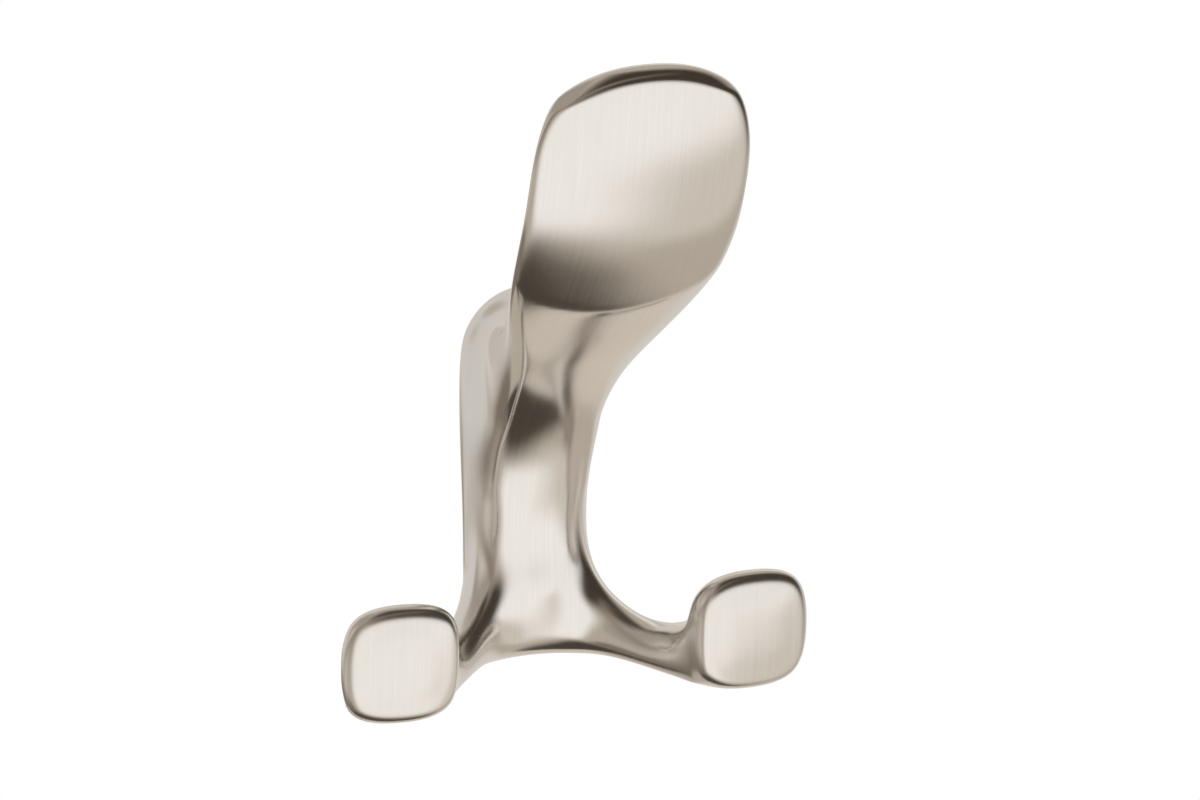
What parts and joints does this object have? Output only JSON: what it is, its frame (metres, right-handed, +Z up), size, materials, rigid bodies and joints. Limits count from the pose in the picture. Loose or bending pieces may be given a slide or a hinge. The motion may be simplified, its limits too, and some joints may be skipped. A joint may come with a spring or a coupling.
{
  "type": "coat hook",
  "caption": "Cast wall hook: a wall bar whose stem bends out into a broad upright paddle, with an arm and a small paddle on each side of its foot.",
  "frame": {"origin": "middle of the flat back, half way between the two fixing holes, on the wall's surface", "axes": "+Z up along the wall, +Y into the wall, so the hook stands out along -Y, +X to the right seen from the front"},
  "size_m": [0.0928, 0.0637, 0.1303],
  "materials": {
    "satin_nickel": "zinc alloy casting, brushed upright and plated in satin nickel"
  },
  "bodies": {
    "root": {"hook_body": "satin_nickel"}
  },
  "joints": []
}
